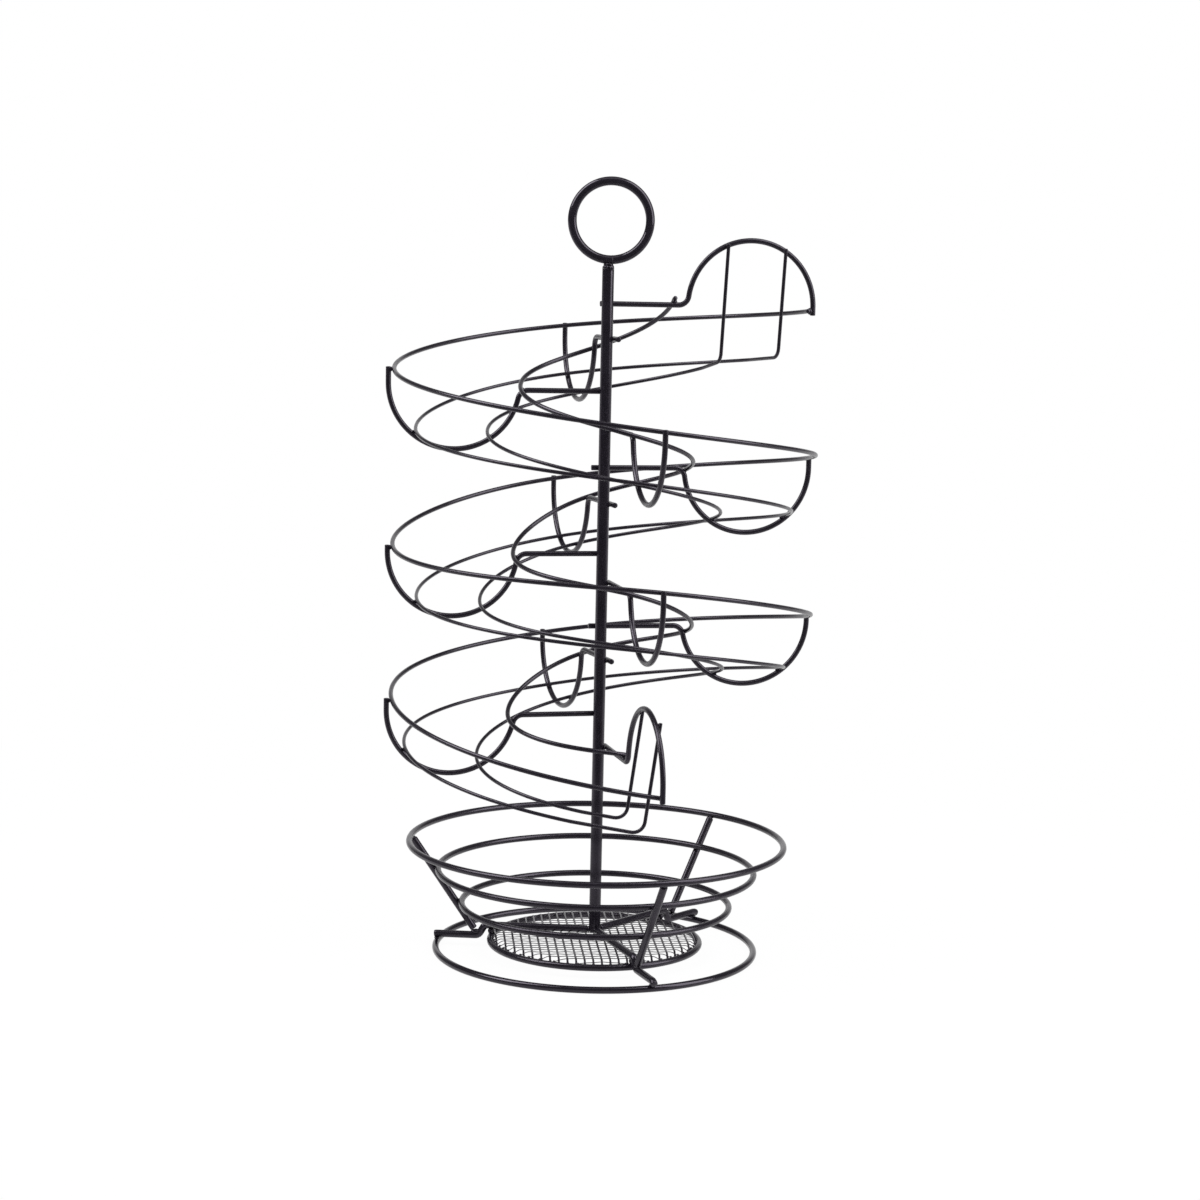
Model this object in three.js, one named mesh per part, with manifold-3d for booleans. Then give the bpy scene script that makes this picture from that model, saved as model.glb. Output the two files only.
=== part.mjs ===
// Rolling egg dispenser: eggs roll down a spiral chute of welded wire, over a small round bowl stand.
// Millimetres, +Z up. The post stands on the Z axis and the foot ring rests on z = 0.
import * as THREE from 'three';
import { mergeVertices } from 'three/addons/utils/BufferGeometryUtils.js';
import Module from 'manifold-3d';

// Wire thicknesses, and the gap left between two wires where a weld joins them.
const postDiameter = 5.2;
const spokeWire = 2.4;
const rimWire = 2;
const railWire = 1.6;
const bowlWire = 2.8;
const legWire = 3.3;
const footWire = 3;
const netRimWire = 3;
const netWire = 0.8;
const hangerWire = 3.9;
const weldGap = 0.3;

// Stand: foot ring, legs, wire net and the three rings of the bowl.
const footRadius = 71.4;
const firstLegTurn = 49.7;
const legBend = 2.4;
const legStepSlope = 60;
const netRimRadius = 46.9;
const netRimHeight = 4.45;
const netPitch = 6.8;
const netTurn = 4.5;
const netFuse = 0.2;
const bowlRadius = 83.7;
const bowlHeight = 49.8;
const strutFootReach = 6.8;
const bowlRingShares = [0.67, 0.29];
// The legs are set by eye too: degrees off their even places, and degrees that each hook goes round the foot ring.
// One entry makes one leg.
const legTurnErrors = [0, 6, 0.7];
const legHookAngles = [40, 25, 55];

// Chute: twelve spokes a quarter turn apart, the first and last bent up into end hoops.
const firstSpokeTurn = 13.5;
const spokeDrop = 18;
const bowlToSpoke = 41.6;
const chuteCentre = 66.2;
const loopRadius = 28.8;
const loopLift = 2;
const shoulderBend = 4.5;
const spokeStub = 5;
const tipRise = 5;
const tipOverrun = 1.2;
const topFootDrop = 1.8;
const bottomFootDrop = 4.3;
const footOverrun = 2;
const rimOverrun = 1.5;
const railBend = 5;
const railCornerSetback = 4.3;
const barOverrun = 1;

// Top of the post and the ring it is lifted by.
const postAboveSpoke = 16.9;
const hangerRadius = 17;
const hangerAside = 0.9;

// Each spoke is bent and set by eye before it is welded, so no two are alike. One entry makes one spoke, from
// the top down: degrees off its quarter turn, the share of a drop that it stands too high, and the shares of
// loopLift, tipRise and spokeStub that its loop, its tip and its end behind the post reach.
const spokeTurnErrors = [-0.5, 1, -5, -1, -1, 3.5, -1.5, -0.5, -3, 6, 0, 0.5];
const spokeRiseShares = [0, 0.15, -0.13, -0.05, 0, 0.11, -0.12, 0.16, 0.08, 0.24, -0.11, 0.06];
const loopLiftShares = [0, -0.5, 1.4, 0.9, 0, 0.3, 0.7, 1.6, 1.2, -1, 1.7, -0.2];
const tipRiseShares = [0, 0.7, 1.7, 1, 0.9, 0.8, 0.6, 1.5, 0.8, 0, 1.5, 0];
const spokeStubShares = [0.5, 1, 0.5, 1, 1, 0.9, 0.5, 1, 1, 0.8, 0.5, 1];
// The degrees up each bend at which the long wires are welded to it.
const innerRimAngles = [0, -6, 60, 40, 37, 40, 33, 40, 20, 14, 24, 0];
const outerRailAngles = [34, 48, 39, 43, 37, 31, 36, 34, 35, 36, 50, 34];
const innerRailAngles = [26, 20, 34, 34, 33, 27, 28, 24, 28, 31, 27, 33];
// The side of the post that each spoke of a turn is welded to.
const spokeSides = [1, -1, -1, 1];

// Sides of a round section, and steps along the curved wires.
const postSides = 12;
const heavySides = 8;
const lightSides = 6;
const stepsPerQuarter = 8;
const bendStartShare = 0.25;
const loopSteps = 14;
const bendSteps = 4;
const ringSteps = 40;

const blackCoat = 0x1c1a1e;

// A wire's route: straight from point to point, with its steps at the points themselves.
class Route extends THREE.Curve {
  constructor(points) {
    super();
    this.points = points;
  }

  getPoint(t, target = new THREE.Vector3()) {
    const place = t * (this.points.length - 1);
    const i = Math.min(Math.floor(place), this.points.length - 2);
    return target.lerpVectors(this.points[i], this.points[i + 1], place - i);
  }

  getUtoTmapping(u) {
    return u;
  }
}

// Corners of a regular section about a centre, with a flat side at the bottom.
function section(diameter, sides, centreX = 0) {
  const corners = [];
  for (let i = 0; i < sides; i++) {
    const a = (2 * Math.PI * (i + 0.5)) / sides;
    corners.push(new THREE.Vector2(centreX + (diameter / 2) * Math.sin(a), (-diameter / 2) * Math.cos(a)));
  }
  return corners;
}

// A round wire carried along a list of points.
function wire(points, diameter, sides) {
  return new THREE.ExtrudeGeometry(new THREE.Shape(section(diameter, sides)), {
    steps: points.length - 1,
    extrudePath: new Route(points),
  });
}

// A closed ring of wire lying flat about the Z axis.
function ring(radius, diameter, sides, steps) {
  const profile = section(diameter, sides, radius);
  return new THREE.LatheGeometry([...profile, profile[0]], steps).rotateX(Math.PI / 2);
}

// A point in a wire's own upright plane: reach outwards from the post and height.
function flat(reach, height) {
  return new THREE.Vector3(reach, 0, height);
}

// Points of an arc in the upright plane, between two angles.
function arc(centre, radius, from, to, steps) {
  const points = [];
  for (let i = 0; i <= steps; i++) {
    const a = THREE.MathUtils.lerp(from, to, i / steps);
    points.push(flat(centre.x + radius * Math.cos(a), centre.z + radius * Math.sin(a)));
  }
  return points;
}

// The route through a list of corners, each but the ends rounded to the bend radius.
function bent(corners, bend) {
  const points = [corners[0]];
  for (let i = 1; i < corners.length - 1; i++) {
    const into = corners[i].clone().sub(corners[i - 1]).normalize();
    const out = corners[i + 1].clone().sub(corners[i]).normalize();
    const turn = into.angleTo(out);
    const start = corners[i].clone().addScaledVector(into, -bend * Math.tan(turn / 2));
    const inward = out.clone().addScaledVector(into, -into.dot(out)).normalize();
    for (let k = 0; k <= bendSteps; k++) {
      const a = (turn * k) / bendSteps;
      const forward = start.clone().addScaledVector(into, bend * Math.sin(a));
      points.push(forward.addScaledVector(inward, bend * (1 - Math.cos(a))));
    }
  }
  points.push(corners[corners.length - 1]);
  return points;
}

// A point at a radius, an angle about the post and a height.
function around(radius, angle, height) {
  return new THREE.Vector3(radius * Math.cos(angle), radius * Math.sin(angle), height);
}

const group = new THREE.Group();

function add(name, geometry, turn = 0, position = new THREE.Vector3()) {
  const material = new THREE.MeshStandardMaterial({ color: blackCoat, roughness: 0.42, metalness: 0.25 });
  const mesh = new THREE.Mesh(geometry, material);
  mesh.name = name;
  mesh.rotation.z = turn;
  mesh.position.copy(position);
  group.add(mesh);
}

// Heights of the stand, from the floor up.
const footHeight = (footWire / 2) * Math.cos(Math.PI / heavySides);
const legFootHeight = footHeight + footWire / 2 + weldGap + legWire / 2;
const netBottom = netRimHeight + netRimWire / 2 + weldGap;
const netThickness = 2 * netWire - netFuse;
const netTop = netBottom + netThickness;
const legHubHeight = netTop + weldGap + legWire / 2;
const spokeOffset = postDiameter / 2 + weldGap + spokeWire / 2;

// Leg: from the post over the net's rim, a step down, and along to hook over the foot ring.
function legRoute(hookAngle) {
  const slope = THREE.MathUtils.degToRad(legStepSlope);
  const stepStart = netRimRadius + netRimWire / 2 + legBend * Math.tan(slope / 2);
  const stepEnd = stepStart + (legHubHeight - legFootHeight) / Math.tan(slope);
  const post = flat(postDiameter / 2 + weldGap, legHubHeight);
  const stepped = bent(
    [post, flat(stepStart, legHubHeight), flat(stepEnd, legFootHeight), flat(footRadius, legFootHeight)],
    legBend,
  );
  const hookEnd = Math.PI / 2 - THREE.MathUtils.degToRad(hookAngle);
  const hookRadius = footWire / 2 + weldGap + legWire / 2;
  const hook = arc(flat(footRadius, footHeight), hookRadius, Math.PI / 2, hookEnd, bendSteps);
  return [...stepped.slice(0, -1), ...hook];
}

// Strut: stands on the leg outside the net and leans out to carry the bowl's top ring on its end.
const bowlTop = flat(bowlRadius, bowlHeight);
const strutFoot = flat(netRimRadius + strutFootReach, legFootHeight + legWire / 2);
const strutLine = bowlTop.clone().sub(strutFoot).normalize();
const strutLift = (weldGap + (legWire / 2) * strutLine.x) / strutLine.z;
const strutStart = strutFoot.clone().addScaledVector(strutLine, strutLift);
const strutEnd = bowlTop.clone().addScaledVector(strutLine, -(bowlWire / 2 + weldGap));

// The lower bowl rings lie inside the struts, at their shares of the way up.
function bowlRingCentre(share) {
  const inward = flat(-strutLine.z, strutLine.x);
  const seat = (legWire + bowlWire) / 2 + weldGap;
  return strutStart.clone().lerp(strutEnd, share).addScaledVector(inward, seat);
}

function addStand() {
  add('foot_ring', ring(footRadius, footWire, heavySides, ringSteps), 0, flat(0, footHeight));
  add('net_rim_ring', ring(netRimRadius, netRimWire, lightSides, ringSteps), 0, flat(0, netRimHeight));
  legTurnErrors.forEach((error, i) => {
    const turn = THREE.MathUtils.degToRad(firstLegTurn + (360 * i) / legTurnErrors.length + error);
    add(`leg_${i + 1}`, wire(legRoute(legHookAngles[i]), legWire, heavySides), turn);
    add(`bowl_strut_${i + 1}`, wire([strutStart, strutEnd], legWire, heavySides), turn);
  });
  const [middle, lower] = bowlRingShares.map(bowlRingCentre);
  add('bowl_ring_top', ring(bowlRadius, bowlWire, lightSides, ringSteps), 0, flat(0, bowlHeight));
  add('bowl_ring_middle', ring(middle.x, bowlWire, lightSides, ringSteps), 0, flat(0, middle.z));
  add('bowl_ring_lower', ring(lower.x, bowlWire, lightSides, ringSteps), 0, flat(0, lower.z));
}

// Net: two crossing layers of thin wire, fused where they cross and trimmed round to the rim.
const wasm = await Module();
wasm.setup();

function solid(geometry) {
  geometry.deleteAttribute('normal');
  geometry.deleteAttribute('uv');
  const merged = mergeVertices(geometry);
  const vertProperties = Float32Array.from(merged.attributes.position.array);
  const triVerts = Uint32Array.from(merged.index.array);
  return new wasm.Manifold(new wasm.Mesh({ numProp: 3, vertProperties, triVerts }));
}

function netGeometry() {
  const count = Math.floor(netRimRadius / netPitch);
  const length = 2 * (netRimRadius + netRimWire);
  let net = null;
  for (let i = -count; i <= count; i++) {
    const along = new THREE.BoxGeometry(netWire, length, netWire).translate(i * netPitch, 0, netWire / 2);
    const across = new THREE.BoxGeometry(length, netWire, netWire);
    across.translate(0, i * netPitch, netThickness - netWire / 2);
    const cross = solid(along).add(solid(across));
    net = net ? net.add(cross) : cross;
  }
  const trim = new THREE.CylinderGeometry(netRimRadius, netRimRadius, 4 * netThickness, ringSteps);
  trim.rotateX(Math.PI / 2);
  const { vertProperties, triVerts } = net.intersect(solid(trim)).getMesh();
  const geometry = new THREE.BufferGeometry();
  geometry.setAttribute('position', new THREE.BufferAttribute(vertProperties, 3));
  geometry.setIndex(new THREE.BufferAttribute(triVerts, 1));
  return geometry;
}

// Spokes: where each stands round the post, its height, its side of the post and how it is bent.
const lastSpoke = spokeTurnErrors.length - 1;
const bottomSpokeHeight = bowlHeight + bowlToSpoke;
const spokes = spokeTurnErrors.map((error, i) => {
  const isHoop = i === 0 || i === lastSpoke;
  return {
    turn: THREE.MathUtils.degToRad(firstSpokeTurn + (360 * i) / spokeSides.length + error),
    height: bottomSpokeHeight + spokeDrop * (lastSpoke - i + spokeRiseShares[i]),
    side: spokeSides[i % spokeSides.length],
    isHoop,
    sense: isHoop ? 1 : -1,
    stub: spokeStub * spokeStubShares[i],
    loopCentre: flat(chuteCentre, loopLift * loopLiftShares[i]),
    tip: isHoop ? -(i === 0 ? topFootDrop : bottomFootDrop) : tipRise * tipRiseShares[i],
    innerRim: innerRimAngles[i],
    outerRail: outerRailAngles[i],
    innerRail: -innerRailAngles[i],
  };
});

// Centre of the shoulder bend between a spoke's arm and its loop, which hangs or, on a hoop, stands up.
function shoulder({ sense, loopCentre }) {
  const rise = loopCentre.z - sense * shoulderBend;
  return flat(chuteCentre - Math.sqrt((loopRadius + shoulderBend) ** 2 - rise ** 2), sense * shoulderBend);
}

// Spoke: a level arm from the post, a tight shoulder, and a half-round loop round the chute.
function spokeRoute(spoke) {
  const { sense, loopCentre, tip } = spoke;
  const bendCentre = shoulder(spoke);
  const join = Math.atan2(loopCentre.z - bendCentre.z, loopCentre.x - bendCentre.x);
  const loopEnd = sense > 0 ? 0 : 2 * Math.PI;
  return [
    flat(-spoke.stub, 0),
    ...arc(bendCentre, shoulderBend, (-sense * Math.PI) / 2, join, bendSteps),
    ...arc(loopCentre, loopRadius, join + Math.PI, loopEnd, loopSteps).slice(1),
    flat(chuteCentre + loopRadius, tip - sense * (spoke.isHoop ? footOverrun : tipOverrun)),
  ];
}

function addSpokes() {
  spokes.forEach((spoke, i) => {
    const names = { 0: 'top_end_hoop', [lastSpoke]: 'bottom_end_hoop' };
    const name = names[i] ?? `saddle_${String(i).padStart(2, '0')}`;
    const sideways = around(spokeOffset * spoke.side, spoke.turn + Math.PI / 2, spoke.height);
    add(name, wire(spokeRoute(spoke), spokeWire, lightSides), spoke.turn, sideways);
  });
}

// Seats of the four long wires in a spoke's plane, as reach and height above the arm.
const limbGap = (spokeWire + rimWire) / 2 + weldGap;

// The inner rim lies on the shoulder's outer side, and on top of a hoop's arm, just inside its shoulder.
function innerRimSeat(spoke) {
  const bendCentre = shoulder(spoke);
  if (spoke.isHoop) {
    const reach = bendCentre.x - rimWire;
    const slope = spokeDrop / (reach * Math.PI * 0.5);
    return flat(reach, Math.hypot(limbGap, limbGap * slope));
  }
  const seatAngle = THREE.MathUtils.degToRad(spoke.innerRim);
  const away = flat(Math.cos(seatAngle), Math.sin(seatAngle));
  return bendCentre.addScaledVector(away, shoulderBend + limbGap);
}

function outerRimSeat(spoke) {
  return flat(chuteCentre + loopRadius - limbGap, spoke.tip);
}

function railSeat(spoke, degrees) {
  const a = THREE.MathUtils.degToRad(degrees);
  const inside = loopRadius - (spokeWire + railWire) / 2 - weldGap;
  return spoke.loopCentre.clone().addScaledVector(flat(Math.sin(a), -Math.cos(a)), inside);
}

// A long wire's track: its radius, angle and height where it passes each spoke, and a curve through them.
function track(seatOf) {
  const stops = spokes.map((spoke) => {
    const seat = seatOf(spoke);
    const radius = Math.hypot(seat.x, spokeOffset);
    const lag = Math.asin(spokeOffset / radius);
    return new THREE.Vector3(radius, spoke.turn + spoke.side * lag, spoke.height + seat.z);
  });
  return { stops, curve: new THREE.CatmullRomCurve3(stops, false, 'catmullrom') };
}

// Points of a track between two stops, with even steps from spoke to spoke.
function spiral({ curve }, from, to) {
  const points = [];
  const steps = Math.round((to - from) * stepsPerQuarter);
  for (let i = 0; i <= steps; i++) {
    points.push(around(...curve.getPoint((from + (i * (to - from)) / steps) / lastSpoke)));
  }
  return points;
}

// A place beside a stop of the track: so far further along the chute, and so high above the stop.
function beside(stop, further, above) {
  return around(stop.x, stop.y + further / stop.x, stop.z + above);
}

// How steeply the chute falls at a stop.
function slopeAt(stop) {
  return spokeDrop / (stop.x * Math.PI * 0.5);
}

function addRim(name, seatOf) {
  const rim = track(seatOf);
  const [first, last] = [rim.stops[0], rim.stops[lastSpoke]];
  const start = beside(first, -rimOverrun, rimOverrun * slopeAt(first));
  const end = beside(last, rimOverrun, -rimOverrun * slopeAt(last));
  add(name, wire([start, ...spiral(rim, 0, lastSpoke), end], rimWire, lightSides));
}

// Rail: rests in every loop, and turns up at both ends into a bar welded to the hoop.
function addRail(name, seatOf) {
  const rail = track(seatOf);
  const past = (spokeWire + railWire) / 2 + weldGap;
  const ends = [0, lastSpoke].map((i) => {
    const seat = seatOf(spokes[i]);
    const archRise = Math.sqrt(loopRadius ** 2 - (seat.x - chuteCentre) ** 2);
    const above = spokes[i].loopCentre.z + archRise - seat.z + barOverrun;
    const onwards = i === 0 ? 1 : -1;
    const fall = railCornerSetback * slopeAt(rail.stops[i]);
    return [
      beside(rail.stops[i], -past * onwards, above),
      beside(rail.stops[i], railCornerSetback * onwards, -fall * onwards),
    ];
  });
  const middle = spiral(rail, bendStartShare, lastSpoke - bendStartShare);
  const start = bent([...ends[0], middle[0]], railBend);
  const end = bent([middle[middle.length - 1], ...ends[1].reverse()], railBend);
  add(name, wire([...start.slice(0, -1), ...middle, ...end.slice(1)], railWire, lightSides));
}

function addPost() {
  const top = spokes[0].height + postAboveSpoke;
  const bottom = netTop + weldGap;
  const post = new THREE.CylinderGeometry(postDiameter / 2, postDiameter / 2, top - bottom, postSides);
  add('center_post', post.rotateX(Math.PI / 2), 0, flat(0, (top + bottom) / 2));
  const hanger = ring(hangerRadius, hangerWire, heavySides, ringSteps).rotateX(Math.PI / 2);
  add('top_ring', hanger, 0, flat(hangerAside, top + weldGap + hangerWire / 2 + hangerRadius));
}

addStand();
add('wire_net', netGeometry(), THREE.MathUtils.degToRad(netTurn), flat(0, netBottom));
addPost();
addSpokes();
addRim('outer_rim', outerRimSeat);
addRim('inner_rim', innerRimSeat);
addRail('outer_rail', (spoke) => railSeat(spoke, spoke.outerRail));
addRail('inner_rail', (spoke) => railSeat(spoke, spoke.innerRail));

export default group;
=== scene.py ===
# Rolling egg dispenser: smooth coated wires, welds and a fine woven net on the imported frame.
# Metres, +Z up. The post stands on the Z axis, and the foot ring rests at z = 0 to a tenth of a millimetre.
import bpy
import numpy as np
from mathutils import Matrix, Vector


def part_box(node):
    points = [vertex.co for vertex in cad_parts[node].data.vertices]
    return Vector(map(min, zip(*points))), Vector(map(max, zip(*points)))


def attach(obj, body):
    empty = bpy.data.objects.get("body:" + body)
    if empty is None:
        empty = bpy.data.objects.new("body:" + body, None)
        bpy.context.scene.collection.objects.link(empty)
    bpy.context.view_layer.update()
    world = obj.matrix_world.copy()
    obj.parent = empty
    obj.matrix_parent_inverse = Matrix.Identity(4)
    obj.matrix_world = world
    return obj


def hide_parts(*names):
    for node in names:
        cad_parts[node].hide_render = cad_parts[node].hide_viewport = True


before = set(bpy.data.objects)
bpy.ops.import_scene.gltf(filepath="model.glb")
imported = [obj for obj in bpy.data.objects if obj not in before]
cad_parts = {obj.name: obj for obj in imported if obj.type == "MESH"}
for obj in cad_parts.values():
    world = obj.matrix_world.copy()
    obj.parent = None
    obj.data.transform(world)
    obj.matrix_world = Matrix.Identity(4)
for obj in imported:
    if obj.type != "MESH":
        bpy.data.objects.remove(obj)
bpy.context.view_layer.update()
print("frame loaded:", len(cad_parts), "nodes")


class Term:
    # one socket of a node tree; a product with it adds a Math node
    def __init__(self, shader, socket):
        self.shader, self.socket = shader, socket

    def __mul__(self, other):
        return self.shader.math("MULTIPLY", self, other)

    def __rmul__(self, other):
        return self.shader.math("MULTIPLY", other, self)


class Shader:
    # the node tree of a material, or of the world
    def __init__(self, owner):
        owner.use_nodes = True
        self.tree = owner.node_tree
        self.tree.nodes.clear()

    def node(self, kind, settings=None, sockets=None, out=0):
        made = self.tree.nodes.new(kind)
        for name, value in (settings or {}).items():
            setattr(made, name, value)
        for name, value in (sockets or {}).items():
            if isinstance(value, Term):
                self.tree.links.new(value.socket, made.inputs[name])
            else:
                made.inputs[name].default_value = value
        return Term(self, made.outputs[out]) if len(made.outputs) else made

    def math(self, operation, a, b):
        return self.node("ShaderNodeMath", {"operation": operation}, {0: a, 1: b})

    def blend(self, share, a, b):
        # a colour is a triple or a term; a Mix node takes its two colours at 6 and 7 and gives its own at 2
        a, b = (colour if isinstance(colour, Term) else (*colour, 1) for colour in (a, b))
        return self.node("ShaderNodeMix", {"data_type": "RGBA"}, {0: share, 6: a, 7: b}, 2)

    def noise(self, vector, size, detail=2.0):
        return self.node("ShaderNodeTexNoise", {}, {"Vector": vector, "Scale": 1 / size, "Detail": detail})

    def between(self, value, low, high, start=0.0, end=1.0):
        sockets = {"Value": value, "From Min": low, "From Max": high, "To Min": start, "To Max": end}
        return self.node("ShaderNodeMapRange", {"interpolation_type": "SMOOTHSTEP"}, sockets)


# Satin black powder coat: nearly black with a slight purple cast, a fine orange peel and cloudy gloss.
coat = {
    "dark": (0.0084, 0.0068, 0.0108), "pale": (0.0126, 0.0106, 0.0156),
    "cloudSize": 0.006, "cloudDetail": 3.0, "cloudEdges": (0.35, 0.65),
    "speckSize": 0.0016, "speckDetail": 1.0, "speckEdges": (0.74, 0.80), "speckShare": 0.6,
    "speckShade": (0.026, 0.023, 0.030), "peelSize": 0.0009, "peelHeight": 0.0000015,
    "gloss": (0.20, 0.28), "glossSize": 0.011, "glossEdges": (0.3, 0.7),
    "specular": 0.52, "specularTint": (0.93, 0.85, 1.0),
}
rodLook = {"cloudSize": 0.009, "gloss": (0.12, 0.17)}  # the post, its ring and the foot ring shine more
netLook = {"cloudSize": 0.004, "dark": (0.014, 0.012, 0.016), "pale": (0.026, 0.023, 0.029)}


def powderCoat(name, look):
    material = bpy.data.materials.new(name)
    shader = Shader(material)
    spot = shader.node("ShaderNodeTexCoord", out="Object")
    clouds = shader.noise(spot, look["cloudSize"], look["cloudDetail"])
    base = shader.blend(shader.between(clouds, *look["cloudEdges"]), look["dark"], look["pale"])
    # a few dust specks sit in the coat
    specks = shader.between(shader.noise(spot, look["speckSize"], look["speckDetail"]), *look["speckEdges"])
    base = shader.blend(look["speckShare"] * specks, base, look["speckShade"])
    gloss = shader.between(shader.noise(spot, look["glossSize"]), *look["glossEdges"], *look["gloss"])
    peel = {"Height": shader.noise(spot, look["peelSize"]), "Distance": look["peelHeight"], "Strength": 1.0}
    normal = shader.node("ShaderNodeBump", {}, peel)
    surface = shader.node("ShaderNodeBsdfPrincipled", {}, {
        "Base Color": base, "Roughness": gloss, "Normal": normal,
        "Specular IOR Level": look["specular"], "Specular Tint": (*look["specularTint"], 1)})
    shader.node("ShaderNodeOutputMaterial", {}, {"Surface": surface})
    return material


# the material of each slot of the record
coats = {
    "wire_coat": powderCoat("wireCoat", coat),
    "rod_coat": powderCoat("rodCoat", {**coat, **rodLook}),
    "net_coat": powderCoat("netCoat", {**coat, **netLook}),
}
print("materials made")

right, back, up = np.eye(3)


def unit(vectors):
    return vectors / np.linalg.norm(vectors, axis=-1, keepdims=True)


def place(reach, height, turn=0.0, aside=0.0):
    # points so far out from the post and so high, turned about it, then moved square to that turn
    reach, height, turn, aside = np.broadcast_arrays(reach, height, turn, aside)
    cos, sin = np.cos(turn), np.sin(turn)
    return np.stack([reach * cos - aside * sin, reach * sin + aside * cos, height], axis=-1)


def arc(reach, height, radius, start, end, count=60):
    # reach and height along a circle about a centre, from one angle to another
    angle = np.linspace(start, end, count)
    return np.stack([reach + radius * np.cos(angle), height + radius * np.sin(angle)], axis=1)


def corner(before, at, after, bend, count=16):
    # a corner rounded to a bend radius: start + bend * (sin a along the way in + (1 - cos a) inwards)
    into, out = unit(at - before), unit(after - at)
    turn = np.arccos(into @ out)
    inward = unit(out - into * (into @ out))
    angle = np.linspace(0, turn, count)[:, None]
    start = at - into * bend * np.tan(turn / 2)
    return start + into * bend * np.sin(angle) + inward * bend * (1 - np.cos(angle))


def skin(rings, sides, first=0):
    # quads between neighbouring rings of a wire, facing outwards
    ring, side = np.meshgrid(np.arange(rings - 1), np.arange(sides), indexing="ij")
    a = first + ring * sides + side
    b = first + ring * sides + (side + 1) % sides
    return np.stack([a, b, b + sides, a + sides], axis=-1).reshape(-1, 4).tolist()


def closedSkin(rings, sides, first=0):
    # a skin with a fan at each end, onto the two poles that follow the rings' points
    last, pole = first + (rings - 1) * sides, first + rings * sides
    fans = [[pole, first + (k + 1) % sides, first + k] for k in range(sides)]
    fans += [[pole + 1, last + k, last + (k + 1) % sides] for k in range(sides)]
    return skin(rings, sides, first) + fans


def section(along, side, radius, sides):
    # round section: radius * (cos v * side + sin v * lift), with lift square to the wire and its side
    side = unit(side - np.sum(side * along, axis=1, keepdims=True) * along)
    lift = np.cross(along, side)
    v = np.linspace(0, 2 * np.pi, sides, endpoint=False)[None, :, None]
    return radius[:, None, None] * (np.cos(v) * side[:, None] + np.sin(v) * lift[:, None])


def evenly(route, side, step, inset):
    # stations a step apart by the running length of the route, and an inset from both its ends
    length = np.concatenate([[0], np.cumsum(np.linalg.norm(np.diff(route, axis=0), axis=1))])
    stations = np.linspace(inset, length[-1] - inset, int(length[-1] / step) + 2)
    def pick(table):
        return np.stack([np.interp(stations, length, table[:, k]) for k in range(3)], axis=1)
    return pick(route), pick(np.broadcast_to(side, route.shape))


def wire(route, side, diameter, step=0.001, sides=16, endShare=0.5, endSteps=5, endPower=2.4, first=0):
    # wire(u, v) = route(u) + section; over each end the radius falls as a flattened quarter ellipse
    inset = endShare * diameter / 2
    route, side = evenly(route, side, step, inset)
    along = unit(np.gradient(route, axis=0))
    t = np.linspace(0, 1, endSteps + 1)[1:-1]
    fall = (1 - (1 - t) ** endPower) ** (1 / endPower)
    head = route[0] - along[0] * inset * (1 - t[:, None])
    tail = route[-1] + along[-1] * inset * (1 - t[::-1, None])
    poles = np.stack([route[0] - along[0] * inset, route[-1] + along[-1] * inset])
    centre = np.concatenate([head, route, tail])
    along, side = (np.pad(table, ((len(t), len(t)), (0, 0)), "edge") for table in (along, side))
    radius = np.concatenate([fall, np.ones(len(route)), fall[::-1]]) * diameter / 2
    body = (centre[:, None] + section(along, side, radius, sides)).reshape(-1, 3)
    return np.vstack([body, poles]), closedSkin(len(centre), sides, first)


def loop(route, side, diameter, sides=18):
    # a closed wire: the last ring of the section joins the first
    along = unit(np.roll(route, -1, axis=0) - np.roll(route, 1, axis=0))
    body = route[:, None] + section(along, side, np.full(len(route), diameter / 2), sides)
    count = len(route) * sides
    faces = (np.array(skin(len(route) + 1, sides)) % count).tolist()
    return body.reshape(-1, 3), faces


def addPiece(name, vertices, faces, slot, *nodes):
    mesh = bpy.data.meshes.new(name)
    mesh.from_pydata(vertices.tolist(), [], faces)
    mesh.materials.append(coats[slot])
    mesh.shade_smooth()
    made = bpy.data.objects.new(name, mesh)
    bpy.context.scene.collection.objects.link(made)
    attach(made, "root")
    if nodes:
        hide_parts(*nodes)


def addWire(node, route, side, diameter, **form):
    vertices, faces = wire(route, side, diameter, **form)
    addPiece(node + "_wire", vertices, faces, "wire_coat", node)


# Welds, filled in by the pieces below: centre, the directions of the first two half sizes, all three sizes.
joints = []


def weld(centre, first, second, size):
    joints.append((centre, unit(first), unit(second), size))


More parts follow.
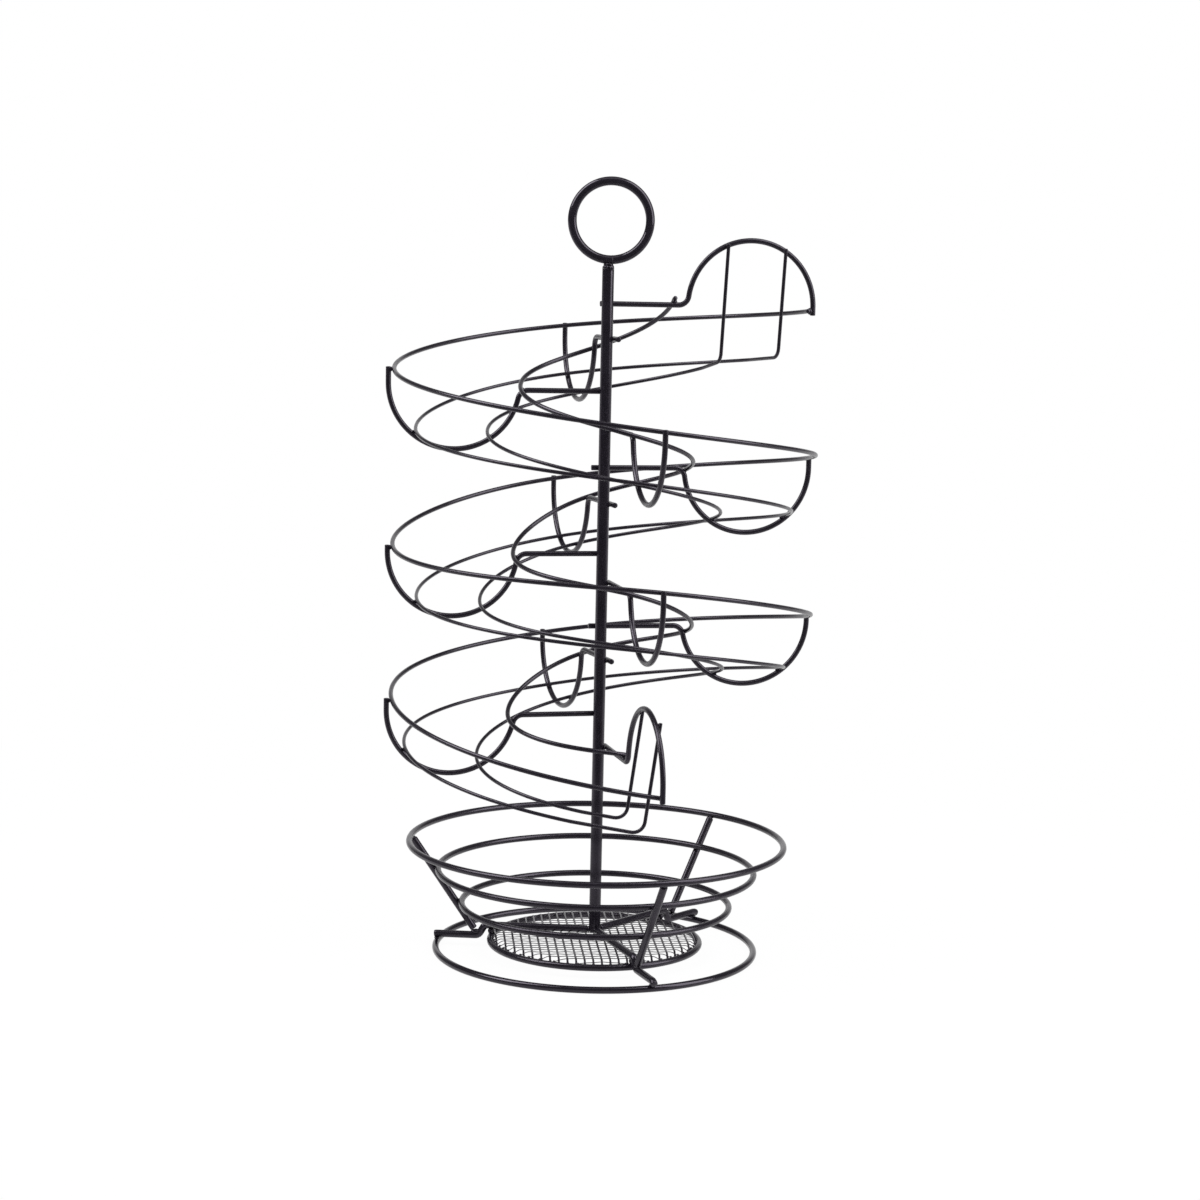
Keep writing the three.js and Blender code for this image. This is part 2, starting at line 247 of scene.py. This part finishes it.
# Stand: foot ring, net rim, three legs, three struts and the three rings of the bowl.
stand = {
    "footWire": 0.003, "footRadius": 0.0714, "netRimWire": 0.003, "netRimRadius": 0.0469,
    "netRimHeight": 0.00445, "netWire": 0.0008, "netFuse": 0.0002, "weldGap": 0.0003,
    "legWire": 0.0033, "legBend": 0.0024, "stepSlope": 60, "firstLeg": 49.7,
    "bowlWire": 0.0028, "bowlRadius": 0.0837, "bowlHeight": 0.0498, "strutReach": 0.0068,
    "ringShares": (0.67, 0.29),  # places of the middle and lower ring up the strut
    # each leg is bent and set by eye: one entry for each
    "legErrors": (0, 6, 0.7), "hookAngles": (40, 25, 55),
    # steps round a ring for each metre of its radius, the step along a leg, and a strut's rounded ends
    "ringSteps": 5200, "legStep": 0.0007, "strutEndShare": 0.35,
    # half sizes of the welds, and how far the one at a strut's foot is raised
    "strutFootWeld": (0.0024, 0.0017, 0.0010), "strutFootRise": 0.0001,
    "strutTopWeld": (0.0016, 0.0014, 0.0007), "ringWeld": (0.0011, 0.0011, 0.0005),
    "footWeld": (0.0013, 0.0014, 0.0006), "netRimWeld": (0.0013, 0.0014, 0.0014),
    "hubWeld": (0.0015, 0.0015, 0.0009),
}
# Post and top ring. The drops are welds on the post's shoulder: place from its top's middle, and half sizes.
post = {
    "wire": 0.0052, "aboveSpoke": 0.0169, "ringWire": 0.0039, "ringRadius": 0.017, "ringAside": 0.0009,
    "step": 0.004, "sides": 32, "endShare": 0.4, "ringSteps": 120, "ringSides": 28,
    "neckWeld": (0.0022, 0.0019, 0.0011), "seamWeld": (0.00215, 0.00215, 0.0005), "seamAside": 0.0008,
    "drops": (((-0.0011, -0.0018, -0.0010), (0.0013, 0.0012, 0.0016)),
              ((0.0015, -0.0016, -0.0012), (0.0010, 0.0015, 0.0015))),
}

weldGap = stand["weldGap"]
hookRadius = (stand["footWire"] + stand["legWire"]) / 2 + weldGap
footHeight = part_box("foot_ring")[1].z / 2
legFoot = footHeight + hookRadius
netBottom = stand["netRimHeight"] + stand["netRimWire"] / 2 + weldGap
netTop = netBottom + 2 * stand["netWire"] - stand["netFuse"]
legHub = netTop + weldGap + stand["legWire"] / 2

# The strut's line and the rings on it, as reach and height.
bowlTop = np.array([stand["bowlRadius"], stand["bowlHeight"]])
strutFoot = np.array([stand["netRimRadius"] + stand["strutReach"], legFoot + stand["legWire"] / 2])
strutLine = unit(bowlTop - strutFoot)
strutStart = strutFoot + strutLine * (weldGap + stand["legWire"] / 2 * strutLine[0]) / strutLine[1]
strutEnd = bowlTop - strutLine * (stand["bowlWire"] / 2 + weldGap)
inward = np.array([-strutLine[1], strutLine[0]])
ringSeat = inward * ((stand["legWire"] + stand["bowlWire"]) / 2 + weldGap)
ringPlaces = [strutStart + (strutEnd - strutStart) * share + ringSeat for share in stand["ringShares"]]


def addRing(node, radius, height, diameter, slot="wire_coat"):
    turn = np.linspace(0, 2 * np.pi, int(radius * stand["ringSteps"]), endpoint=False)
    vertices, faces = loop(place(radius, height, turn), place(1.0, 0.0, turn), diameter)
    addPiece(node + "_wire", vertices, faces, slot, node)


def legRoute(hookAngle):
    # reach and height: level over the net, a step down past its rim, and a hook over the foot ring
    slope, bend = np.radians(stand["stepSlope"]), stand["legBend"]
    stepStart = stand["netRimRadius"] + stand["netRimWire"] / 2 + bend * np.tan(slope / 2)
    stepEnd = stepStart + (legHub - legFoot) / np.tan(slope)
    hub, upper = np.array([post["wire"] / 2 + weldGap, legHub]), np.array([stepStart, legHub])
    lower, over = np.array([stepEnd, legFoot]), np.array([stand["footRadius"], legFoot])
    hook = arc(stand["footRadius"], footHeight, hookRadius, np.pi / 2, np.pi / 2 - np.radians(hookAngle))
    return np.vstack([hub, corner(hub, upper, lower, bend), corner(upper, lower, over, bend), hook])


def weldLeg(turn):
    # the strut's foot and top, the rings on it, and the leg on the foot ring, the net's rim and the post
    out, across, lean = place(1.0, 0.0, turn), place(0.0, 0.0, turn, 1.0), place(*strutLine, turn)
    weld(place(*strutFoot, turn) + up * stand["strutFootRise"], out, across, stand["strutFootWeld"])
    weld(place(*(bowlTop - strutLine * stand["bowlWire"] / 2), turn), across, out, stand["strutTopWeld"])
    for middle in ringPlaces:
        contact = middle - inward * (stand["bowlWire"] + weldGap) / 2
        weld(place(*contact, turn), lean, across, stand["ringWeld"])
    weld(place(stand["footRadius"], footHeight + stand["footWire"] / 2, turn), across, out, stand["footWeld"])
    overRim = (stand["netRimHeight"] + stand["netRimWire"] / 2 + legHub - stand["legWire"] / 2) / 2
    weld(place(stand["netRimRadius"], overRim, turn), across, out, stand["netRimWeld"])
    weld(place(post["wire"] / 2, legHub, turn), up, across, stand["hubWeld"])


def addStand():
    addRing("foot_ring", stand["footRadius"], footHeight, stand["footWire"], "rod_coat")
    addRing("net_rim_ring", stand["netRimRadius"], stand["netRimHeight"], stand["netRimWire"])
    for node, middle in zip(("bowl_ring_top", "bowl_ring_middle", "bowl_ring_lower"), [bowlTop, *ringPlaces]):
        addRing(node, *middle, stand["bowlWire"])
    strut = np.vstack([strutStart, strutEnd])
    for i, (error, hookAngle) in enumerate(zip(stand["legErrors"], stand["hookAngles"])):
        turn = np.radians(stand["firstLeg"] + 360 * i / len(stand["legErrors"]) + error)
        across, leg = place(0.0, 0.0, turn, 1.0), place(*legRoute(hookAngle).T, turn)
        addWire(f"leg_{i + 1}", leg, across, stand["legWire"], step=stand["legStep"])
        addWire(f"bowl_strut_{i + 1}", place(*strut.T, turn), across, stand["legWire"],
                endShare=stand["strutEndShare"])
        weldLeg(turn)


addStand()
print("stand made")

# Chute: spokes a quarter turn apart, each a little off by hand, and four long wires along them.
chute = {
    "spokeWire": 0.0024, "rimWire": 0.002, "railWire": 0.0016, "firstSpoke": 13.5, "quarter": 90,
    "drop": 0.018, "bowlToSpoke": 0.0416, "centre": 0.0662, "loopRadius": 0.0288, "loopLift": 0.002,
    "shoulderBend": 0.0045, "stub": 0.005, "tipRise": 0.005, "tipOverrun": 0.0012, "topFootDrop": 0.0018,
    "bottomFootDrop": 0.0043, "footOverrun": 0.002, "rimOverrun": 0.0015, "barOverrun": 0.001,
    "railBend": 0.005, "railSetback": 0.0043, "bendShare": 0.25,
    "sides": (1, -1, -1, 1),  # the side of the post on which each spoke of a whole turn passes
    # each spoke is bent and set by eye: one entry for each, from the top down
    "turnErrors": (-0.5, 1, -5, -1, -1, 3.5, -1.5, -0.5, -3, 6, 0, 0.5),
    "riseShares": (0, 0.15, -0.13, -0.05, 0, 0.11, -0.12, 0.16, 0.08, 0.24, -0.11, 0.06),
    "liftShares": (0, -0.5, 1.4, 0.9, 0, 0.3, 0.7, 1.6, 1.2, -1, 1.7, -0.2),
    "tipShares": (0, 0.7, 1.7, 1, 0.9, 0.8, 0.6, 1.5, 0.8, 0, 1.5, 0),
    "stubShares": (0.5, 1, 0.5, 1, 1, 0.9, 0.5, 1, 1, 0.8, 0.5, 1),
    "innerRimAngles": (0, -6, 60, 40, 37, 40, 33, 40, 20, 14, 24, 0),
    "outerRailAngles": (34, 48, 39, 43, 37, 31, 36, 34, 35, 36, 50, 34),
    "innerRailAngles": (26, 20, 34, 34, 33, 27, 28, 24, 28, 31, 27, 33),
    # steps along the wires; the spiral's are from spoke to spoke, for each metre of its radius
    "spokeStep": 0.0009, "spokeEndShare": 0.28, "loopSteps": 200, "longStep": 0.0012, "spiralSteps": 1800,
    "rimSides": 14, "railSides": 12,
    # half sizes of the welds
    "postWeld": (0.0015, 0.0011, 0.0006), "rimWeld": (0.00095, 0.00095, 0.00045),
    "railWeld": (0.00085, 0.00085, 0.0004), "barWeld": (0.0009, 0.0009, 0.00045),
    "hoopFootWeld": (0.0017, 0.0013, 0.0011), "hoopArmWeld": (0.0014, 0.0013, 0.0011),
}
lastSpoke = len(chute["turnErrors"]) - 1
order = np.arange(lastSpoke + 1)
spokeTurn = np.radians(chute["firstSpoke"] + chute["quarter"] * order + np.array(chute["turnErrors"]))
dropsAbove = lastSpoke - order + np.array(chute["riseShares"])
spokeHeight = stand["bowlHeight"] + chute["bowlToSpoke"] + chute["drop"] * dropsAbove
spokeSide = np.array([chute["sides"][i % len(chute["sides"])] for i in order])
spokeOffset = (post["wire"] + chute["spokeWire"]) / 2 + weldGap
limbGap = (chute["spokeWire"] + chute["rimWire"]) / 2 + weldGap

# The end hoops' loops stand up (1) where the saddles' hang down (-1).
isHoop = (order == 0) | (order == lastSpoke)
sense = np.where(isHoop, 1, -1)
footDrop = np.where(order == 0, chute["topFootDrop"], chute["bottomFootDrop"])
tip = np.where(isHoop, -footDrop, chute["tipRise"] * np.array(chute["tipShares"]))
lift = chute["loopLift"] * np.array(chute["liftShares"])
centreGap = chute["loopRadius"] + chute["shoulderBend"]
shoulderAcross = np.sqrt(centreGap ** 2 - (lift - sense * chute["shoulderBend"]) ** 2)
shoulders = np.stack([chute["centre"] - shoulderAcross, sense * chute["shoulderBend"]], axis=1)


def spokeRoute(i):
    # level arm, tight shoulder, half-round loop, straight tip
    loopCentre = np.array([chute["centre"], lift[i]])
    join = np.arctan2(*(loopCentre - shoulders[i])[::-1])
    loopEnd = 0 if isHoop[i] else 2 * np.pi
    overrun = chute["footOverrun"] if isHoop[i] else chute["tipOverrun"]
    return np.vstack([
        [-chute["stub"] * chute["stubShares"][i], 0],
        arc(*shoulders[i], chute["shoulderBend"], -sense[i] * np.pi / 2, join),
        arc(*loopCentre, chute["loopRadius"], join + np.pi, loopEnd, chute["loopSteps"])[1:],
        [chute["centre"] + chute["loopRadius"], tip[i] - sense[i] * overrun]])


def inSpoke(i, reach, rise):
    # points in a spoke's plane, from their reach and their height above its arm
    return place(reach, spokeHeight[i] + rise, spokeTurn[i], spokeOffset * spokeSide[i])


def addSpokes():
    for i in order:
        node = {0: "top_end_hoop", lastSpoke: "bottom_end_hoop"}.get(i, f"saddle_{i:02d}")
        out, across = place(1.0, 0.0, spokeTurn[i]), place(0.0, 0.0, spokeTurn[i], 1.0)
        addWire(node, inSpoke(i, *spokeRoute(i).T), across, chute["spokeWire"],
                step=chute["spokeStep"], endShare=chute["spokeEndShare"])
        contact = place(0.0, spokeHeight[i], spokeTurn[i], spokeSide[i] * post["wire"] / 2)
        weld(contact, out, up, chute["postWeld"])


# Seats of the four long wires in each spoke's plane, as reach and height above its arm.
outerSeats = np.stack([np.full(len(order), chute["centre"] + chute["loopRadius"] - limbGap), tip], axis=1)
seatAngle = np.radians(chute["innerRimAngles"])
seatWay = np.stack([np.cos(seatAngle), np.sin(seatAngle)], axis=1)
onShoulder = shoulders + (chute["shoulderBend"] + limbGap) * seatWay
hoopReach = shoulders[:, 0] - chute["rimWire"]
hoopRise = np.hypot(limbGap, limbGap * chute["drop"] / (hoopReach * np.pi / 2))
innerSeats = np.where(isHoop[:, None], np.stack([hoopReach, hoopRise], axis=1), onShoulder)
outerRail, innerRail = np.radians(chute["outerRailAngles"]), -np.radians(chute["innerRailAngles"])


def railSeats(angles):
    # where a rail lies inside each loop: its centre + inside * (sin, -cos) of the angle from straight down
    inside = chute["loopRadius"] - (chute["spokeWire"] + chute["railWire"]) / 2 - weldGap
    return np.stack([chute["centre"] + inside * np.sin(angles), lift - inside * np.cos(angles)], axis=1)


def archRise(reach):
    # height of a hoop's arch over the middle of its loop
    return np.sqrt(chute["loopRadius"] ** 2 - (reach - chute["centre"]) ** 2)


def throughStops(stops, at):
    # cubic through every stop, whose slope there is half the way between the stops on either side
    padded = np.vstack([2 * stops[:1] - stops[1:2], stops, 2 * stops[-1:] - stops[-2:-1]])
    i = np.clip(np.floor(at).astype(int), 0, len(stops) - 2)
    w = (at - i)[:, None]
    before, start, end, after = padded[i], padded[i + 1], padded[i + 2], padded[i + 3]
    slopeIn, slopeOut = (end - before) / 2, (after - start) / 2
    return start + slopeIn * w + (3 * (end - start) - 2 * slopeIn - slopeOut) * w ** 2 \
        + (2 * (start - end) + slopeIn + slopeOut) * w ** 3


def track(seats):
    # radius, angle and height of a long wire where it passes each spoke
    radius = np.hypot(seats[:, 0], spokeOffset)
    lag = np.arcsin(spokeOffset / radius)
    return np.stack([radius, spokeTurn + spokeSide * lag, spokeHeight + seats[:, 1]], axis=1)


def spiral(stops, start, end):
    # the cubic through the stops as points in space, from one count of spokes to another
    at = np.linspace(start, end, int((end - start) * stops[0, 0] * chute["spiralSteps"]))
    radius, turn, height = throughStops(stops, at).T
    return place(radius, height, turn)


def beside(stop, further, above):
    # a point so far round from a stop, and so high above it
    return place(stop[0], stop[2] + above, stop[1] + further / stop[0])


def slopeAt(stop):
    # how far a long wire comes down for each metre round the post
    return chute["drop"] / (stop[0] * np.pi / 2)


def addRim(node, seats):
    stops = track(seats)
    past = chute["rimOverrun"]
    start = beside(stops[0], -past, past * slopeAt(stops[0]))
    end = beside(stops[-1], past, -past * slopeAt(stops[-1]))
    route = np.vstack([start, spiral(stops, 0, lastSpoke), end])
    addWire(node, route, unit(route * (right + back)), chute["rimWire"], step=chute["longStep"],
            sides=chute["rimSides"])


def addRail(node, angles):
    # turned up at both ends into a bar that stands against the hoop
    seats = railSeats(angles)
    stops = track(seats)
    past = (chute["spokeWire"] + chute["railWire"]) / 2 + weldGap
    above = lift + archRise(seats[:, 0]) - seats[:, 1] + chute["barOverrun"]
    tops, corners = [], []
    for i, onwards in ((0, 1), (-1, -1)):
        along = chute["railSetback"] * onwards
        tops.append(beside(stops[i], -past * onwards, above[i]))
        corners.append(beside(stops[i], along, -along * slopeAt(stops[i])))
    middle = spiral(stops, chute["bendShare"], lastSpoke - chute["bendShare"])
    route = np.vstack([tops[0], corner(tops[0], corners[0], middle[0], chute["railBend"]), middle,
                       corner(middle[-1], corners[1], tops[1], chute["railBend"]), tops[1]])
    addWire(node, route, unit(route * (right + back)), chute["railWire"], step=chute["longStep"],
            sides=chute["railSides"])


def weldRail(i, angles, half, out, across):
    # a rail's bar against the side of a hoop, or the rail on the inside of a saddle's loop
    if isHoop[i]:
        reach = railSeats(angles)[i, 0]
        away = across * half * (-1 if i == 0 else 1)
        weld(inSpoke(i, reach, lift[i] + archRise(reach)) + away, out, up, chute["barWeld"])
    else:
        inside = chute["loopRadius"] - half
        cos, sin = np.cos(angles[i]), np.sin(angles[i])
        contact = inSpoke(i, chute["centre"] + inside * sin, lift[i] - inside * cos)
        weld(contact, place(cos, sin, spokeTurn[i]), across, chute["railWeld"])


def weldChute():
    half = (chute["spokeWire"] + weldGap) / 2
    for i in order:
        out, across = place(1.0, 0.0, spokeTurn[i]), place(0.0, 0.0, spokeTurn[i], 1.0)
        contact = inSpoke(i, chute["centre"] + chute["loopRadius"] - half, tip[i])
        weld(contact, up, across, chute["hoopFootWeld"] if isHoop[i] else chute["rimWeld"])
        if isHoop[i]:
            weld(inSpoke(i, innerSeats[i, 0], half), out, across, chute["hoopArmWeld"])
        else:
            toSeat = unit(innerSeats[i] - shoulders[i])
            contact = inSpoke(i, *(shoulders[i] + toSeat * (chute["shoulderBend"] + half)))
            weld(contact, place(-toSeat[1], toSeat[0], spokeTurn[i]), across, chute["rimWeld"])
        for angles in (outerRail, innerRail):
            weldRail(i, angles, half, out, across)


addSpokes()
addRim("outer_rim", outerSeats)
addRim("inner_rim", innerSeats)
addRail("outer_rail", outerRail)
addRail("inner_rail", innerRail)
weldChute()
print("chute made")


def addPost():
    bottom, top = up * (netTop + weldGap), up * (spokeHeight[0] + post["aboveSpoke"])
    rod = wire(np.stack([bottom, top]), right, post["wire"], post["step"], post["sides"], post["endShare"])
    addPiece("center_post_rod", *rod, "rod_coat", "center_post")
    ringMiddle = top + right * post["ringAside"] + up * (weldGap + post["ringWire"] / 2 + post["ringRadius"])
    turn = np.linspace(0, 2 * np.pi, post["ringSteps"], endpoint=False)[:, None]
    outward = right * np.cos(turn) + up * np.sin(turn)
    ring = loop(ringMiddle + outward * post["ringRadius"], outward, post["ringWire"], post["ringSides"])
    addPiece("top_ring_wire", *ring, "rod_coat", "top_ring")
    weld(top + up * weldGap / 2, right, back, post["neckWeld"])
    for fromTop, size in post["drops"]:
        weld(top + fromTop, right, up, size)
    # the seam where the ring's two ends meet
    seam = ringMiddle + right * post["seamAside"] - up * post["ringRadius"]
    weld(seam, back, up, post["seamWeld"])


addPost()

# Net: stout wires from front to back with thin ones woven across them, trimmed round on the net's rim.
net = {
    "pitch": 0.0037, "turn": 4.5,
    "columns": (0.00094, -0.00002), "rows": (0.00036, 0.00008),  # diameter, and swing up and down
    "endInset": 0.0013, "edgeWidth": 0.0024, "edgeDrop": 0.00125,
    "stepsPerPitch": 6, "leastSteps": 8, "sides": 8, "endShare": 0.4, "endSteps": 2,
    "bead": (0.0006, 0.0006, 0.00048),
}


def netLine(i, reach, step, swing):
    # way along wire i and its height there: a cosine that runs the other way round on its neighbours,
    # less edgeDrop * t * t * (3 - 2 t), t from 0 to 1 over edgeWidth, which bends it down onto the rim
    offset = i * net["pitch"]
    half = np.sqrt(reach ** 2 - offset ** 2)
    along = np.linspace(-half, half, max(net["leastSteps"], int(2 * half / step)))
    t = np.clip((np.hypot(along, offset) - reach) / net["edgeWidth"] + 1, 0, 1)
    wave = swing * np.cos(np.pi * (along / net["pitch"] + i))
    return along, (netBottom + netTop) / 2 + wave - net["edgeDrop"] * t * t * (3 - 2 * t)


def addNet():
    reach = stand["netRimRadius"] - net["endInset"]
    count = int(reach / net["pitch"])
    turn, step = np.radians(net["turn"]), net["pitch"] / net["stepsPerPitch"]
    vertices, faces, first = [], [], 0
    for isRow, (diameter, swing) in ((False, net["columns"]), (True, net["rows"])):
        side = place(0.0, 0.0, turn, 1.0) if isRow else place(1.0, 0.0, turn)
        for i in range(-count, count + 1):
            along, height = netLine(i, reach, step, swing)
            offset = i * net["pitch"]
            route = place(along, height, turn, offset) if isRow else place(offset, height, turn, along)
            points, skinned = wire(route, side, diameter, step, net["sides"], net["endShare"],
                                   net["endSteps"], first=first)
            for end in route[[0, -1]]:
                weld(end, end * (right + back), side, net["bead"])
            vertices.append(points)
            faces += skinned
            first += len(points)
    addPiece("wire_net_weave", np.vstack(vertices), faces, "net_coat", "wire_net")


addNet()
print("post and net made")

# Weld beads: a swollen drop on every joint, with fewer rings and sides where it is small.
bead = {"seed": 12, "swells": (0.10, 0.07), "steps": (7, 14), "smallBelow": 0.0008, "smallSteps": (4, 8)}


def addWelds():
    # bead(u, v) = centre + half sizes times a unit sphere, swollen a little by two slow waves
    rng = np.random.default_rng(bead["seed"])
    vertices, faces, first = [], [], 0
    for centre, along, across, (long, wide, deep) in joints:
        rings, sides = bead["smallSteps"] if long < bead["smallBelow"] else bead["steps"]
        u = np.linspace(0, np.pi, rings + 2)[1:-1, None]
        v = np.linspace(0, 2 * np.pi, sides, endpoint=False)[None]
        across = unit(across - along * (along @ across))
        out = np.cross(along, across)
        phase = rng.uniform(0, 2 * np.pi, 3)
        slow = bead["swells"][0] * np.sin(2 * v + phase[0]) * np.sin(u)
        swell = 1 + slow + bead["swells"][1] * np.sin(3 * v + phase[1]) * np.sin(2 * u)
        x, y, z = long * np.sin(u) * np.cos(v), wide * np.sin(u) * np.sin(v), deep * np.cos(u)
        ball = swell[..., None] * np.stack(np.broadcast_arrays(x, y, z), axis=-1)
        body = centre + ball @ np.stack([along, across, out])
        poles = np.stack([centre + deep * out, centre - deep * out])
        vertices += [body.reshape(-1, 3), poles]
        faces += [face[::-1] for face in closedSkin(rings, sides, first)]
        first += rings * sides + len(poles)
    addPiece("weld_beads", np.vstack(vertices), faces, "wire_coat")


addWelds()
print("welds made:", len(joints))

# Studio: white floor and backdrop, a dim room on the viewer's side, soft lamps to the right, left and above.
studio = {
    "floorHalf": 12.0, "floorGap": 0.00005, "floorShade": 0.97, "floorGlowShare": 0.97,
    "shadowReach": (0.15, 0.6),
    # brightness behind the rack and on the viewer's side, and where one turns into the other along Y
    "behind": 0.85, "front": 0.16, "backdropEdge": (0.75, 0.99), "floorEdge": (-0.42, 0.0),
    "aimHeight": 0.17, "lampDistance": 1.5,
    # degrees right of the camera's side, degrees up, width, height and brightness
    "lamps": {"rightLamp": (74, 36, 1.0, 2.0, 4.0), "leftLamp": (-80, 48, 0.8, 1.3, 6.0),
              "topLamp": (10, 78, 0.8, 0.8, 1.0)},
}
white = (1.0, 1.0, 1.0, 1.0)


def anyRay(shader, *kinds):
    # 1 for a ray of any of these kinds
    rays = [shader.node("ShaderNodeLightPath", out=kind) for kind in kinds]
    found = rays[0]
    for ray in rays[1:]:
        found = shader.math("MAXIMUM", found, ray)
    return found


def backdrop(shader, vector, edge):
    # plain white for the camera and through glass; gloss sees it white behind and dim on the viewer's side
    depth = shader.node("ShaderNodeSeparateXYZ", {}, {"Vector": vector}, "Y")
    room = shader.between(depth, *edge, studio["front"], studio["behind"])
    return shader.math("MAXIMUM", anyRay(shader, "Is Camera Ray", "Is Transmission Ray"), room)


def addFloor():
    # a diffuse floor that keeps the shadow for light, and a glowing one for camera, gloss and glass
    half, low = studio["floorHalf"], -studio["floorGap"]
    mesh = bpy.data.meshes.new("floor")
    corners = [(-half, -half, low), (half, -half, low), (half, half, low), (-half, half, low)]
    mesh.from_pydata(corners, [], [[0, 1, 2, 3]])
    floor = bpy.data.objects.new("floor", mesh)
    bpy.context.scene.collection.objects.link(floor)
    material = bpy.data.materials.new("floorWhite")
    shader = Shader(material)
    lit = shader.node("ShaderNodeBsdfDiffuse", {}, {"Color": (*[studio["floorShade"]] * 3, 1)})
    spot = shader.node("ShaderNodeTexCoord", out="Object")
    strength = backdrop(shader, spot, studio["floorEdge"])
    glow = shader.node("ShaderNodeEmission", {}, {"Color": white, "Strength": strength})
    # near the rack a little of the diffuse floor shows, with the rack's shadow on it
    away = shader.node("ShaderNodeVectorMath", {"operation": "LENGTH"}, {0: spot}, "Value")
    share = anyRay(shader, "Is Camera Ray", "Is Glossy Ray", "Is Transmission Ray") \
        * shader.between(away, *studio["shadowReach"], studio["floorGlowShare"], 1.0)
    surface = shader.node("ShaderNodeMixShader", {}, {0: share, 1: lit, 2: glow})
    shader.node("ShaderNodeOutputMaterial", {}, {"Surface": surface})
    mesh.materials.append(material)


def addWorld():
    world = bpy.data.worlds.new("studioWorld")
    bpy.context.scene.world = world
    shader = Shader(world)
    direction = shader.node("ShaderNodeTexCoord", out="Generated")
    strength = backdrop(shader, direction, studio["backdropEdge"])
    sky = shader.node("ShaderNodeBackground", {}, {"Color": white, "Strength": strength})
    shader.node("ShaderNodeOutputWorld", {}, {"Surface": sky})


def addLamps():
    # soft boxes round the rack, each turned to its middle; the camera doesn't see them
    aim = Vector((0, 0, studio["aimHeight"]))
    for name, (azimuth, elevation, width, height, brightness) in studio["lamps"].items():
        lamp = bpy.data.lights.new(name, "AREA")
        lamp.shape, lamp.size, lamp.size_y = "RECTANGLE", width, height
        lamp.energy = brightness * np.pi * width * height
        made = bpy.data.objects.new(name, lamp)
        a, e = np.radians(azimuth), np.radians(elevation)
        towards = Vector((np.sin(a) * np.cos(e), -np.cos(a) * np.cos(e), np.sin(e)))
        made.location = aim + towards * studio["lampDistance"]
        made.rotation_mode = "QUATERNION"
        made.rotation_quaternion = towards.to_track_quat("Z", "Y")
        made.visible_camera = False
        bpy.context.scene.collection.objects.link(made)


# Camera: fitted to the photo's view. Pixels are of its 1200 by 1200 frame, the sensor's width is in mm.
view = {"focalPixels": 2633.8, "framePixels": 1200, "sensorWidth": 36.0, "rightPixels": 1.4,
        "distance": 1.1575, "height": 0.3068, "pitch": 0.127, "roll": 0.0208}


def addCamera():
    data = bpy.data.cameras.new("camera")
    data.sensor_width = view["sensorWidth"]
    data.lens = view["focalPixels"] / view["framePixels"] * data.sensor_width
    data.shift_x = -view["rightPixels"] / view["framePixels"]
    cosPitch, sinPitch = np.cos(view["pitch"]), np.sin(view["pitch"])
    cosRoll, sinRoll = np.cos(view["roll"]), np.sin(view["roll"])
    level, top, ahead = Vector((1, 0, 0)), Vector((0, sinPitch, cosPitch)), Vector((0, cosPitch, -sinPitch))
    axes = (level * cosRoll + top * sinRoll, top * cosRoll - level * sinRoll, -ahead)
    turn = Matrix([[axis[k] for axis in axes] for k in range(3)])
    made = bpy.data.objects.new("camera", data)
    made.matrix_world = Matrix.Translation((0, -view["distance"], view["height"])) @ turn.to_4x4()
    bpy.context.scene.collection.objects.link(made)
    bpy.context.scene.camera = made


addFloor()
addWorld()
addLamps()
addCamera()
bpy.context.scene.view_settings.view_transform = "Standard"
print("studio made")
